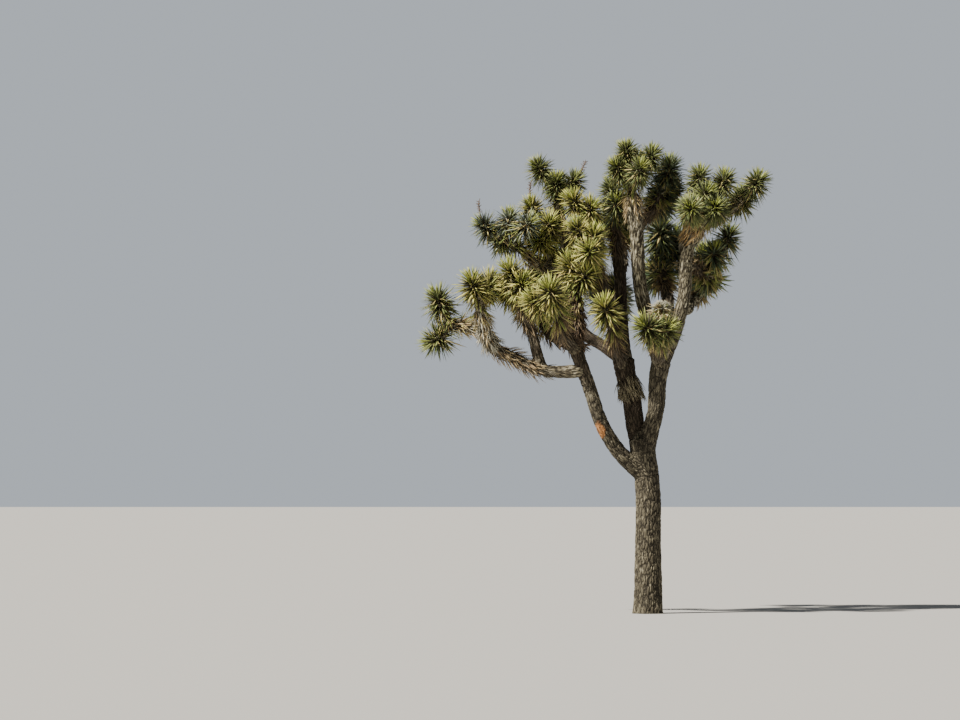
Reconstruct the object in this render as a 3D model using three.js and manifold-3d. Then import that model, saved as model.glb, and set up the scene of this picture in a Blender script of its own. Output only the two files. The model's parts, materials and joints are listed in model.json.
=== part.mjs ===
// A joshua tree: a trunk, its boughs, and heads of dagger leaves on the boughs' tips.
// Millimetres, +Z up. The origin is the middle of the trunk's flat cut at ground level.
// +X is to the viewer's right and +Y is away from the viewer.
import * as THREE from "three";
import { mergeVertices } from "three/addons/utils/BufferGeometryUtils.js";
import Module from "manifold-3d";

const wasm = await Module();
wasm.setup();

// Clearance between two solids that meet
const JOINT_GAP = 0.3;

// The trunk, which is cut flat at the ground and runs up to its fork
const TRUNK = {
  name: "trunk",
  foot: [0, 0, -20],
  tip: [-95, 0, 2350],
  leans_to: [-0.16, 0, 1],
  radii: [198, 172],
  crook: 14,
};
const TRUNK_WAIST = 0.05;
const FLARE_HEIGHT = 130;
const FLARE_SPREAD = 0.07;
const FLARE_RIDGES = 5;
const RIDGE_DEPTH = 0.8;

// How boughs bend and narrow: crook is how far they swing from their smooth bend,
// and a handle is the share of the chord over which an end keeps its direction
const BOUGH_WAIST = 0.1;
const BOUGH_CROOK = 20;
const HANDLE = 0.36;

// Each bough: the limb that it grows on, the share of that limb's length where it leaves, its tip,
// the radii of its foot and tip, and how strongly it bows upwards. Some name the direction in which
// they set off. A bough with heads carries a mass of leaves, and these are their places.
const BOUGHS = [
  { name: "bough_west", on: "trunk", at: 0.79, tip: [-1010, -330, 3620], radii: [120, 93], bow: 0.56 },
  { name: "bough_middle", on: "trunk", at: 0.9, tip: [-320, 150, 3430], radii: [134, 152], bow: 0.3 },
  { name: "bough_east", on: "trunk", at: 0.9, tip: [172, -120, 3390], radii: [128, 134], bow: 0.36 },

  { name: "west_upright", on: "bough_west", at: 1, tip: [-970, -330, 4320], radii: [92, 78], bow: 0.1,
    heads: [
      [-1050, -330, 4705], [-835, -430, 4575],
    ] },
  { name: "west_front", on: "bough_west", at: 0.96, tip: [-1250, -900, 3980], radii: [86, 74], bow: 0.4,
    heads: [
      [-1345, -1180, 4305], [-1565, -1000, 4170],
    ] },
  { name: "west_shaded", on: "bough_west", at: 0.98, tip: [-1510, 180, 4010], radii: [86, 74], bow: 0.3,
    heads: [
      [-1680, 130, 4190], [-1550, 330, 4310],
    ] },
  { name: "west_low", on: "bough_west", at: 0.82, tip: [-2130, -260, 3600], radii: [92, 80], bow: 0.4 },
  { name: "west_rise", on: "west_low", at: 0.97, tip: [-2270, -460, 4100], radii: [78, 70], bow: 0.5,
    heads: [
      [-2370, -560, 4445], [-2135, -150, 4470],
    ] },
  { name: "west_end", on: "west_low", at: 0.9, tip: [-2570, -60, 3880], radii: [74, 66], bow: -0.5,
    heads: [
      [-2840, 0, 4265], [-2905, 40, 3660],
    ] },
  { name: "west_mid", on: "west_low", at: 0.42, tip: [-1730, -280, 4270], radii: [84, 72], bow: 0.1,
    heads: [
      [-1865, -350, 4610], [-1705, -480, 4425], [-1920, 0, 4350],
    ] },

  { name: "northwest", on: "bough_middle", at: 1, tip: [-1030, 430, 3960], radii: [100, 90], bow: 0.1 },
  { name: "northwest_rise", on: "northwest", at: 0.98, tip: [-1370, 240, 4980], radii: [92, 86], bow: 0.1,
    heads: [
      [-1570, 260, 5530], [-1320, 60, 5285], [-1475, 20, 5050],
    ] },
  { name: "northwest_far", on: "northwest_rise", at: 0.7, tip: [-1840, 60, 5000], radii: [74, 66], bow: 0.2,
    heads: [
      [-2225, 80, 5265], [-1875, -60, 5340], [-2010, 200, 5090],
      [-1600, -170, 5265],
    ] },
  { name: "northwest_tall", on: "northwest", at: 0.9, tip: [-1200, 480, 5580], radii: [92, 74], bow: 0.08,
    heads: [
      [-1475, 500, 6100], [-1220, 360, 5880], [-970, 600, 5920],
    ] },

  { name: "centre_dark", on: "bough_middle", at: 1, tip: [-430, 240, 5300], radii: [110, 80], bow: 0.08,
    heads: [
      [-480, 140, 5775], [-420, 20, 5560],
    ] },
  { name: "centre_lit", on: "centre_dark", at: 0.1, tip: [-740, -280, 4800], radii: [86, 72], bow: 0.12,
    heads: [
      [-970, -330, 5185], [-730, -420, 5085], [-815, -560, 4850],
    ] },
  { name: "northwest_front", on: "centre_lit", at: 0.55, tip: [-800, 20, 5260], radii: [70, 64], bow: 0.15,
    heads: [
      [-1015, -60, 5590], [-765, -120, 5485],
    ] },
  { name: "centre_front", on: "bough_middle", at: 0.9, tip: [-520, -440, 3900], radii: [74, 66], bow: 0.3,
    heads: [
      [-600, -590, 4115],
    ] },

  { name: "top", on: "bough_east", at: 0.99, tip: [-210, -170, 5630], radii: [112, 100], bow: 0,
    sets_off: [-0.35, 0, 0.94], heads: [
      [-295, -170, 6260], [60, -150, 6205], [-430, -270, 6020],
      [-115, -450, 5980], [-130, 90, 6140],
    ] },
  { name: "top_shaded", on: "top", at: 0.8, tip: [170, 60, 5640], radii: [84, 74], bow: 0.2,
    heads: [
      [300, 70, 6055], [310, 260, 5785], [165, 300, 5505],
    ] },
  { name: "east", on: "bough_east", at: 0.99, tip: [550, 60, 5030], radii: [108, 98], bow: 0,
    sets_off: [0.5, 0.1, 0.8] },
  { name: "east_inner", on: "east", at: 0.99, tip: [600, -60, 5420], radii: [84, 74], bow: 0.05,
    heads: [
      [705, -60, 5930], [550, -520, 5425], [790, -300, 5660],
    ] },
  { name: "east_outer", on: "east", at: 0.98, tip: [840, -60, 5380], radii: [84, 74], bow: 0.2,
    heads: [
      [1045, -30, 5885], [890, -380, 5450],
    ] },
  { name: "east_end", on: "east_outer", at: 0.6, tip: [1160, 210, 5480], radii: [70, 64], bow: 0.15,
    heads: [
      [1525, 240, 5885], [1325, 380, 5660],
    ] },
  { name: "east_shaded", on: "east", at: 0.82, tip: [820, 460, 4600], radii: [80, 72], bow: 0.1,
    heads: [
      [1140, 540, 5155], [805, 680, 4560], [920, 330, 4915],
    ] },
  { name: "east_front", on: "bough_east", at: 0.94, tip: [110, -600, 3700], radii: [80, 72], bow: 0.3,
    heads: [
      [-80, -820, 3835], [230, -750, 3800], [165, -560, 4085],
    ] },
  { name: "east_rear", on: "east", at: 0.3, tip: [220, 740, 4640], radii: [86, 74], bow: 0.2,
    heads: [
      [215, 780, 5270], [165, 1040, 4640], [445, 960, 5105],
    ] },

  { name: "rear_high", on: "centre_dark", at: 0.5, tip: [-300, 1040, 5180], radii: [82, 70], bow: 0.2,
    heads: [
      [-160, 1310, 5360], [-450, 1260, 5410], [-230, 1060, 5570],
    ] },
  { name: "rear_low", on: "bough_middle", at: 0.8, tip: [-420, 1290, 4140], radii: [88, 74], bow: 0.3,
    heads: [
      [-320, 1550, 4330], [-630, 1480, 4360], [-410, 1330, 4490],
      [-380, 1000, 4480],
    ] },
  { name: "rear_west", on: "northwest", at: 0.7, tip: [-1370, 1330, 4440], radii: [84, 72], bow: 0.25,
    heads: [
      [-1310, 1630, 4700], [-1600, 1560, 4540], [-1500, 1380, 4750],
      [-1250, 1050, 4850],
    ] },
  { name: "rear_middle", on: "centre_dark", at: 0.22, tip: [-870, 1060, 4960], radii: [84, 72], bow: 0.15,
    heads: [
      [-910, 1400, 5150], [-1160, 1150, 5200], [-870, 1110, 5300],
      [-700, 800, 5270],
    ] },
  { name: "rear_east", on: "east", at: 0.45, tip: [800, 1220, 4480], radii: [84, 72], bow: 0.25,
    heads: [
      [785, 1480, 4670], [600, 1550, 4760], [850, 1330, 4960],
      [820, 900, 4900],
    ] },
];

// Twigs of a mass: a short stem, then one twig to each head. A head turns up from its twig's way.
const STEM_LENGTH = 90;
const STEM_LAP = 22;
const STEM_FOOT_RADIUS = 68;
const TWIG_RADIUS = 54;
const TWIG_TIP_RADIUS = 40;
const TWIG_LIFT = 0.35;

// A head: a dense core of leaf bases, and dagger leaves that stand out of it all round.
// Leaf distances are from the middle of the core. The leaves' reach falls from the lowest heads to the
// highest ones, and in each head it grows from the young leaves on top to the old ones of the skirt.
const CORE_RADIUS = 104;
const CORE_LENGTH = 128;
const LEAVES_PER_HEAD = 9;
const LEAF_REACH = [308, 243];
const REACH_HEIGHTS = [4600, 6000];
const LEAF_GROWTH = [0.87, 1.15];
const LEAF_UNEVENNESS = [0.93, 1];
const LEAF_ROOT = 18;
const LEAF_WIDEST = 48;
const LEAF_HALF_WIDTH = 24;
const LEAF_HALF_THICKNESS = 5;
const LEAF_TILTS = [12, 120];
const LEAF_CLEARANCE = 2;
const GOLDEN_ANGLE = Math.PI * (3 - Math.sqrt(5));

// Facets
const TRUNK_SIDES = 15;
const TRUNK_STEPS = 8;
const BOUGH_SIDES = 7;
const BOUGH_STEP = 400;
const TWIG_SIDES = 5;

const UP = new THREE.Vector3(0, 0, 1);
const RIGHT = new THREE.Vector3(1, 0, 0);
const radians = THREE.MathUtils.degToRad;
const lerp = THREE.MathUtils.lerp;
const vector = (numbers) => new THREE.Vector3(...numbers);

// Seeded random numbers from 0 to 1
function seeded(seed) {
  let state = seed >>> 0;
  return () => {
    state = (state + 0x6d2b79f5) >>> 0;
    let mixed = Math.imul(state ^ (state >>> 15), state | 1);
    mixed ^= mixed + Math.imul(mixed ^ (mixed >>> 7), mixed | 61);
    return ((mixed ^ (mixed >>> 14)) >>> 0) / 4294967296;
  };
}

// A limb's centre line: one smooth bend, with the slight crook of a plant that grows by fits
class LimbCurve extends THREE.Curve {
  constructor(foot, tip, sets_off, arrives, crook, phase) {
    super();
    const handle = HANDLE * foot.distanceTo(tip);
    this.bend = new THREE.CubicBezierCurve3(
      foot,
      foot.clone().addScaledVector(sets_off, handle),
      tip.clone().addScaledVector(arrives, -handle),
      tip,
    );
    const chord = tip.clone().sub(foot).normalize();
    this.side = new THREE.Vector3().crossVectors(chord, new THREE.Vector3(0.3, 0.8, 0.2)).normalize();
    this.back = new THREE.Vector3().crossVectors(chord, this.side);
    this.crook = crook;
    this.phase = phase;
  }
  getPoint(t, target = new THREE.Vector3()) {
    this.bend.getPoint(t, target);
    const swing = this.crook * Math.sin(Math.PI * t);
    target.addScaledVector(this.side, swing * Math.sin(2 * Math.PI * t + this.phase));
    target.addScaledVector(this.back, swing * Math.cos(4 * Math.PI * t + this.phase));
    return target;
  }
}

// A closed geometry as a solid that can be joined and cut
function toSolid(geometry) {
  const bare = new THREE.BufferGeometry().setAttribute("position", geometry.getAttribute("position"));
  if (geometry.index) bare.setIndex(geometry.index);
  const merged = mergeVertices(bare, 1e-3);
  return new wasm.Manifold(
    new wasm.Mesh({
      numProp: 3,
      vertProperties: new Float32Array(merged.getAttribute("position").array),
      triVerts: new Uint32Array(merged.index.array),
    }),
  );
}

// A tapering round limb along a curve, closed by a flat cap at each end.
// radiusAt takes the share of the length and the angle round the limb.
function limbSolid(curve, radiusAt, sides, steps, grown = 0) {
  const tube = new THREE.CylinderGeometry(1, 1, 1, sides, steps);
  const frames = curve.computeFrenetFrames(steps, false);
  const places = tube.getAttribute("position");
  for (let i = 0; i < places.count; i++) {
    const share = places.getY(i) + 0.5;
    const station = Math.round(share * steps);
    const tangent = frames.tangents[station];
    const normal = frames.normals[station];
    const across = new THREE.Vector3().crossVectors(normal, tangent);
    const x = places.getX(i);
    const z = places.getZ(i);
    const onAxis = Math.hypot(x, z) < 0.5;
    const radius = onAxis ? 0 : radiusAt(share, Math.atan2(z, x)) + grown;
    const end = station === 0 ? -grown : station === steps ? grown : 0;
    const place = curve
      .getPointAt(share)
      .addScaledVector(tangent, end)
      .addScaledVector(normal, x * radius)
      .addScaledVector(across, z * radius);
    places.setXYZ(i, place.x, place.y, place.z);
  }
  return toSolid(tube);
}

// A limb narrows from foot to tip and is a little slimmer between its ends
const taper = ([foot, tip], waist, share) => lerp(foot, tip, share) * (1 - waist * Math.sin(Math.PI * share));

// The trunk spreads into low ridges where its roots begin
function trunkRadius(share, angle) {
  const height = lerp(TRUNK.foot[2], TRUNK.tip[2], share);
  const flare = FLARE_SPREAD * Math.exp(-height / FLARE_HEIGHT);
  const ridges = 1 + RIDGE_DEPTH * Math.cos(FLARE_RIDGES * angle);
  return taper(TRUNK.radii, TRUNK_WAIST, share) * (1 + flare * ridges);
}

function trunkCurve() {
  const foot = vector(TRUNK.foot);
  return new LimbCurve(foot, vector(TRUNK.tip), UP, vector(TRUNK.leans_to).normalize(), TRUNK.crook, 0);
}

// A bough starts inside the limb that carries it and ends at its own tip
function boughCurve(bough, carrier, phase) {
  const foot = carrier.getPointAt(bough.at);
  const tip = vector(bough.tip);
  const chord = tip.clone().sub(foot).normalize();
  const sets_off = bough.sets_off ? vector(bough.sets_off) : chord.clone().addScaledVector(UP, -bough.bow);
  const arrives = bough.sets_off ? UP.clone().add(chord) : chord.clone().addScaledVector(UP, bough.bow);
  return new LimbCurve(foot, tip, sets_off.normalize(), arrives.normalize(), BOUGH_CROOK, phase);
}

// Two directions square to a heading: the viewer's right, and the one that turns from it towards up
function squareTo(heading) {
  const right = RIGHT.clone().addScaledVector(heading, -RIGHT.dot(heading)).normalize();
  return { right, other: new THREE.Vector3().crossVectors(heading, right) };
}

// A heading tipped away from another one by an angle, towards a turn round it
function tipped(heading, spread, turn) {
  const { right, other } = squareTo(heading);
  return heading
    .clone()
    .multiplyScalar(Math.cos(spread))
    .addScaledVector(right, Math.sin(spread) * Math.cos(turn))
    .addScaledVector(other, Math.sin(spread) * Math.sin(turn));
}

// The stem and twigs of one mass, which fork just past the bough's tip, one twig to a head
function growTwigs(bough, curve) {
  const heading = curve.getTangentAt(1);
  const start = curve.getPointAt(1).addScaledVector(heading, JOINT_GAP);
  const fork = start.clone().addScaledVector(heading, STEM_LENGTH);
  const stemEnd = fork.clone().addScaledVector(heading, STEM_LAP);
  const stemFoot = Math.min(bough.radii[1], STEM_FOOT_RADIUS);
  const heads = bough.heads.map(vector).map((place) => {
    const way = place.clone().sub(fork).normalize();
    return { place, axis: way.addScaledVector(UP, TWIG_LIFT).normalize() };
  });
  const stem = { from: start, to: stemEnd, radii: [stemFoot, TWIG_RADIUS] };
  const twigs = heads.map(({ place }) => ({ from: fork, to: place, radii: [TWIG_RADIUS, TWIG_TIP_RADIUS] }));
  return { twigs: [stem, ...twigs], heads };
}

// The leaves of one head stand round its axis in a spiral, evenly spread from its tip to its skirt
function growLeaves(head, draw) {
  const first = draw() * Math.PI * 2;
  const [top, skirt] = LEAF_TILTS.map((tilt) => Math.cos(radians(tilt)));
  const rise = THREE.MathUtils.clamp(THREE.MathUtils.inverseLerp(...REACH_HEIGHTS, head.place.z), 0, 1);
  return Array.from({ length: LEAVES_PER_HEAD }, (_, k) => {
    const share = (k + 0.5) / LEAVES_PER_HEAD;
    const tilt = Math.acos(lerp(top, skirt, share));
    const heading = tipped(head.axis, tilt, first + k * GOLDEN_ANGLE);
    const growth = lerp(...LEAF_GROWTH, share) * lerp(...LEAF_UNEVENNESS, draw());
    return {
      heading,
      across: new THREE.Vector3().crossVectors(head.axis, heading).normalize(),
      root: head.place.clone().addScaledVector(heading, LEAF_ROOT),
      length: lerp(...LEAF_REACH, rise) * growth - LEAF_ROOT,
    };
  });
}

// A dagger leaf of eight faces: a point in the core, its widest part just under it, and its tip
function leafSolid(leaf, grown) {
  const blade = new THREE.OctahedronGeometry(1, 0);
  const places = blade.getAttribute("position");
  const widest = LEAF_WIDEST - LEAF_ROOT;
  for (let i = 0; i < places.count; i++) {
    const along = places.getZ(i);
    const reach = along > 0.5 ? leaf.length : along < -0.5 ? 0 : widest;
    const across = places.getX(i) * (LEAF_HALF_WIDTH + grown);
    places.setXYZ(i, across, places.getY(i) * (LEAF_HALF_THICKNESS + grown), reach);
  }
  const face = new THREE.Vector3().crossVectors(leaf.heading, leaf.across);
  const stand = new THREE.Matrix4().makeBasis(leaf.across, face, leaf.heading).setPosition(leaf.root);
  return toSolid(blade.applyMatrix4(stand));
}

function coreSolid(head) {
  const core = new THREE.OctahedronGeometry(1, 0).scale(CORE_RADIUS, CORE_RADIUS, CORE_LENGTH);
  const turn = new THREE.Quaternion().setFromUnitVectors(UP, head.axis);
  return toSolid(core.applyQuaternion(turn).translate(...head.place));
}

function boxOf(solid) {
  const { min, max } = solid.boundingBox();
  return new THREE.Box3(vector(min), vector(max));
}

function twigSolid(twig) {
  const line = new THREE.LineCurve3(twig.from, twig.to);
  return limbSolid(line, (share) => lerp(...twig.radii, share), TWIG_SIDES, 1);
}

// The largest body of a cut solid, with any scrap dropped and any sealed hollow filled
function largestBody(solid) {
  const bodies = solid.decompose();
  return bodies.reduce((best, body) => (body.volume() > best.volume() ? body : best));
}

function toMesh(name, solid, material) {
  const { vertProperties, triVerts } = largestBody(solid).getMesh();
  const geometry = new THREE.BufferGeometry()
    .setAttribute("position", new THREE.BufferAttribute(vertProperties, 3))
    .setIndex(new THREE.BufferAttribute(triVerts, 1));
  geometry.computeVertexNormals();
  const mesh = new THREE.Mesh(geometry, material);
  mesh.name = name;
  return mesh;
}

const barkMaterial = new THREE.MeshStandardMaterial({ color: 0x6e675c, roughness: 0.95, metalness: 0 });
const leafMaterial = new THREE.MeshStandardMaterial({ color: 0x8a9450, roughness: 0.6, metalness: 0 });

const tree = new THREE.Group();

// Limbs, in the order that they grow: each is cut at the ground, and clear of every limb that it meets
const limbs = new Map();
function addLimb(name, curve, radiusAt, sides, steps) {
  let solid = limbSolid(curve, radiusAt, sides, steps).trimByPlane(UP.toArray(), 0);
  for (const earlier of limbs.values()) {
    solid = solid.subtract(earlier.grown);
  }
  limbs.set(name, { curve, radiusAt, steps, grown: limbSolid(curve, radiusAt, sides, steps, JOINT_GAP) });
  tree.add(toMesh(name, solid, barkMaterial));
}

addLimb(TRUNK.name, trunkCurve(), trunkRadius, TRUNK_SIDES, TRUNK_STEPS);
BOUGHS.forEach((bough, order) => {
  const curve = boughCurve(bough, limbs.get(bough.on).curve, order);
  const steps = Math.max(3, Math.ceil(curve.getLength() / BOUGH_STEP));
  addLimb(bough.name, curve, (share) => taper(bough.radii, BOUGH_WAIST, share), BOUGH_SIDES, steps);
});

// Twigs and cores of every mass, which leaves have to stay clear of, as they do of the limbs
const masses = BOUGHS.filter((bough) => bough.heads).map((bough, order) => {
  const draw = seeded(order + 1);
  const { twigs, heads } = growTwigs(bough, limbs.get(bough.name).curve);
  const frame = twigs.map(twigSolid).concat(heads.map(coreSolid));
  return { name: "leaves_" + bough.name, draw, heads, solid: frame.reduce((sum, piece) => sum.add(piece)) };
});

// Everything that stands in the way of a leaf, with its box: limbs, other masses and other heads
const taken = [];
function take(solid, mass, head) {
  taken.push({ solid, mass, head, box: boxOf(solid) });
}
for (const { grown } of limbs.values()) take(grown);
for (const mass of masses) take(mass.solid, mass);

// Leaves are dealt out head by head, and one that would touch anything else is skipped
for (const mass of masses) {
  for (const head of mass.heads) {
    for (const leaf of growLeaves(head, mass.draw)) {
      const room = leafSolid(leaf, LEAF_CLEARANCE);
      const box = boxOf(room);
      const touches = taken.some(
        (other) =>
          (other.mass !== mass || (other.head && other.head !== head)) &&
          box.intersectsBox(other.box) &&
          room.intersect(other.solid).volume() > 0,
      );
      if (touches) continue;
      const solid = leafSolid(leaf, 0);
      mass.solid = mass.solid.add(solid);
      take(solid, mass, head);
    }
  }
  tree.add(toMesh(mass.name, mass.solid, leafMaterial));
}

export default tree;
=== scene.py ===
"""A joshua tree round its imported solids: fused bark, heads of dagger leaves and a thatch of dead ones.

Everything is in metres, +Z up, with the origin in the middle of the trunk's flat cut at the ground.
"""

import json
import math

import bmesh
import bpy
import numpy as np
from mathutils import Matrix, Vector, kdtree

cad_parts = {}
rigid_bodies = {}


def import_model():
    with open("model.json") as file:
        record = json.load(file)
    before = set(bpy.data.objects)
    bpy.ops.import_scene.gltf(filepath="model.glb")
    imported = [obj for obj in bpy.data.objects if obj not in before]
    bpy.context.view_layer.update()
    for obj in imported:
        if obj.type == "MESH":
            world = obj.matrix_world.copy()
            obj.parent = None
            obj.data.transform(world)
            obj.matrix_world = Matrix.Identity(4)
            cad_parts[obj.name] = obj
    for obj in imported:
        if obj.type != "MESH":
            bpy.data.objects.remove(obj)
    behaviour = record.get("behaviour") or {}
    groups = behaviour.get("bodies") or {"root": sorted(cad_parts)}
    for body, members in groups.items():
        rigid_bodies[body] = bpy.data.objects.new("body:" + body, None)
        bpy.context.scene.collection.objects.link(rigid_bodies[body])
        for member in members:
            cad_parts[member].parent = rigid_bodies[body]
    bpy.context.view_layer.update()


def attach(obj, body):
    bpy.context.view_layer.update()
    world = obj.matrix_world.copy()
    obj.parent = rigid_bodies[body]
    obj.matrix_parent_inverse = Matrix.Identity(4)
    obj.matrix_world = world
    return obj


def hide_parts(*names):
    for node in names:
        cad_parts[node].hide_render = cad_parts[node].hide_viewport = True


for spare in list(bpy.data.objects):
    bpy.data.objects.remove(spare)
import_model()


# The view: a long lens at eye height, 47 metres away, as in the photograph.
# A low sun stands up to the left in front of the tree, softened as a studio lamp is, and a pale
# floor and a pale sky fill the shade.
PHOTO_WIDTH = 960
FOCAL_PIXELS = 3500
SENSOR_WIDTH = 36
EYE = (-2.268, -47.25, 1.6)
LOOKS_UP = math.radians(2.2)
VIEW_REACH = 2000


def placed(name, data):
    """A new object of a mesh, lamp or camera, put in the scene."""
    made = bpy.data.objects.new(name, data)
    bpy.context.scene.collection.objects.link(made)
    return made


class Wire:
    """A node's output that plain sums can be written with, of numbers or of vectors."""

    def __init__(self, sheet, socket):
        self.sheet = sheet
        self.socket = socket

    def __add__(self, other):
        return self.sheet.sum("ADD", self, other)

    def __radd__(self, other):
        return self.sheet.sum("ADD", other, self)

    def __sub__(self, other):
        return self.sheet.sum("SUBTRACT", self, other)

    def __rsub__(self, other):
        return self.sheet.sum("SUBTRACT", other, self)

    def __mul__(self, other):
        return self.sheet.sum("MULTIPLY", self, other)

    def __rmul__(self, other):
        return self.sheet.sum("MULTIPLY", other, self)

    def __truediv__(self, other):
        return self.sheet.sum("DIVIDE", self, other)

    def __rtruediv__(self, other):
        return self.sheet.sum("DIVIDE", other, self)


def is_vector(value):
    """Whether a value is a vector or a colour."""
    return isinstance(value, tuple) or isinstance(value, Wire) and value.socket.type in ("VECTOR", "RGBA")


class Sheet:
    """A node tree, of a material or of Geometry Nodes, that is written node by node."""

    def __init__(self, tree):
        self.tree = tree

    def node(self, kind, settings=None, feeds=None, take=0):
        """A node from its type, its settings, the values or wires of its sockets, and its outputs."""
        made = self.tree.nodes.new(kind)
        for name, value in (settings or {}).items():
            setattr(made, name, value)
        for name, value in (feeds or {}).items():
            self.feed(self.socket(made.inputs, name), value)
        if isinstance(take, list):
            return [Wire(self, self.socket(made.outputs, name)) for name in take]
        return Wire(self, self.socket(made.outputs, take))

    def socket(self, sockets, name):
        """A node's socket by its name or number, among those in use."""
        if isinstance(name, str):
            return next(s for s in sockets if s.enabled and s.name == name)
        return [s for s in sockets if s.enabled][name]

    def feed(self, socket, value):
        if isinstance(value, list):
            for wire in value:
                self.feed(socket, wire)
        elif isinstance(value, Wire):
            self.tree.links.new(value.socket, socket)
        elif socket.type == "RGBA":
            socket.default_value = (*value, 1)
        else:
            socket.default_value = value

    def math(self, operation, *values):
        return self.node("ShaderNodeMath", {"operation": operation}, dict(enumerate(values)))

    def vector(self, operation, *values, take=0):
        return self.node("ShaderNodeVectorMath", {"operation": operation}, dict(enumerate(values)), take)

    def sum(self, operation, *pair):
        """A sum of two numbers or two vectors, or a vector times a number."""
        vectors = [value for value in pair if is_vector(value)]
        if not vectors:
            return self.math(operation, *pair)
        if len(vectors) == 2 or operation != "MULTIPLY":
            return self.vector(operation, *pair)
        factor = next(value for value in pair if not is_vector(value))
        return self.node("ShaderNodeVectorMath", {"operation": "SCALE"}, {0: vectors[0], "Scale": factor})

    def point(self, x=0.0, y=0.0, z=0.0):
        return self.node("ShaderNodeCombineXYZ", None, {0: x, 1: y, 2: z})

    def blend(self, share, first, second):
        """A colour on the way from the first to the second."""
        return self.node("ShaderNodeMix", {"data_type": "RGBA"}, {"Factor": share, "A": first, "B": second})

    def passed(self, value, start, end, low=0.0, high=1.0, easing="LINEAR"):
        """How far a value has come from start to end, on a scale from low to high."""
        feeds = {"Value": value, "From Min": start, "From Max": end, "To Min": low, "To Max": high}
        return self.node("ShaderNodeMapRange", {"interpolation_type": easing}, feeds)

    def noise(self, place, per_metre, detail, take=0, roughness=0.5):
        """Soft noise, of so many waves to a metre."""
        feeds = {"Vector": place, "Scale": per_metre, "Detail": detail, "Roughness": roughness}
        return self.node("ShaderNodeTexNoise", None, feeds, take)


camera = bpy.data.cameras.new("camera")
camera.sensor_width = SENSOR_WIDTH
camera.lens = SENSOR_WIDTH * FOCAL_PIXELS / PHOTO_WIDTH
camera.clip_end = VIEW_REACH
viewer = placed("camera", camera)
viewer.location = EYE
viewer.rotation_euler = (math.pi / 2 + LOOKS_UP, 0, 0)
bpy.context.scene.camera = viewer

SUN_FROM = Vector((-0.6, -0.32, 0.73))
SUN_STRENGTH = 10.0
SUN_COLOUR = (1.0, 0.95, 0.86)
SUN_SIZE = math.radians(3)
SKY_COLOUR = (0.8, 0.87, 0.95)
FILL_STRENGTH = 0.21
BACKDROP_STRENGTH = 0.6

sun = bpy.data.lights.new("sun", "SUN")
sun.energy = SUN_STRENGTH
sun.color = SUN_COLOUR
sun.angle = SUN_SIZE
lamp = placed("sun", sun)
lamp.rotation_euler = SUN_FROM.to_track_quat("Z", "Y").to_euler()

world = bpy.data.worlds.new("sky")
world.use_nodes = True
sky = Sheet(world.node_tree)
seen = sky.node("ShaderNodeLightPath", take="Is Camera Ray")
strength = sky.passed(seen, 0, 1, FILL_STRENGTH, BACKDROP_STRENGTH)
glow = sky.tree.nodes["Background"]
sky.feed(glow.inputs["Color"], SKY_COLOUR)
sky.feed(glow.inputs["Strength"], strength)
bpy.context.scene.world = world


# The floor: a plain pale ground of matt paint, level with the trunk's cut.
# It carries nothing but the tree's shadow.
FLOOR_REACH = 400
FLOOR_DROP = 0.002
FLOOR_COLOUR = (0.42, 0.41, 0.39)
GRIT_COLOUR = (0.34, 0.33, 0.31)
GRIT_SHARE = 0.06
GRIT_PER_METRE = 3.0
FLOOR_CORNERS = ((-1, -1), (1, -1), (1, 1), (-1, 1))


class Finish(Sheet):
    """A surface finish: one material and its shader."""

    def __init__(self, name, **constants):
        self.material = bpy.data.materials.new(name)
        self.material.use_nodes = True
        super().__init__(self.material.node_tree)
        self.shader = self.tree.nodes["Principled BSDF"]
        for socket, value in constants.items():
            self.shader.inputs[socket.replace("_", " ")].default_value = value

    def set(self, socket, wire):
        self.feed(self.shader.inputs[socket], wire)

    def place(self):
        """Where on the tree a spot of the surface is."""
        return self.node("ShaderNodeTexCoord", take="Object")

    def noted(self, name, take="Fac"):
        """A value that is kept on the mesh."""
        return self.node("ShaderNodeAttribute", {"attribute_name": name}, take=take)


floor_finish = Finish("pale floor", Roughness=0.9)
grit = floor_finish.noise(floor_finish.place(), GRIT_PER_METRE, detail=4.0) * GRIT_SHARE
floor_finish.set("Base Color", floor_finish.blend(grit, FLOOR_COLOUR, GRIT_COLOUR))

floor_mesh = bpy.data.meshes.new("floor")
floor_corners = [(x * FLOOR_REACH, y * FLOOR_REACH, -FLOOR_DROP) for x, y in FLOOR_CORNERS]
floor_mesh.from_pydata(floor_corners, [], [(0, 1, 2, 3)])
floor_mesh.materials.append(floor_finish.material)
floor = placed("floor", floor_mesh)


# Trunk and boughs: living stems of pithy, fibrous wood under a corky bark, all grown in one.
# Each bough leaves its carrier at a share of that limb's length and ends in its own tip, with the
# sizes of the solids.
TRUNK_FOOT = (0, 0, -0.02)
TRUNK_TIP = (-0.095, 0, 2.35)
TRUNK_LEANS_TO = (-0.16, 0, 1)
TRUNK_RADII = (0.198, 0.172)
TRUNK_CROOK = 0.014
TRUNK_WAIST = 0.05
FLARE_HEIGHT = 0.13
FLARE_SPREAD = 0.07
FLARE_RIDGES = 5
RIDGE_DEPTH = 0.8
BOUGH_WAIST = 0.1
BOUGH_CROOK = 0.02
HANDLE = 0.36
UP = np.array((0.0, 0.0, 1.0))
CROOK_SIDE = (0.3, 0.8, 0.2)


def bough(name, on, at, tip, radii, bow, sets_off=None, heads=None):
    """A bough: its carrier, where along it, its tip, its radii, its bow or first heading, and its heads."""
    return {"name": name, "on": on, "at": at, "tip": tip, "radii": radii, "bow": bow, "sets_off": sets_off,
            "heads": heads}


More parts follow.
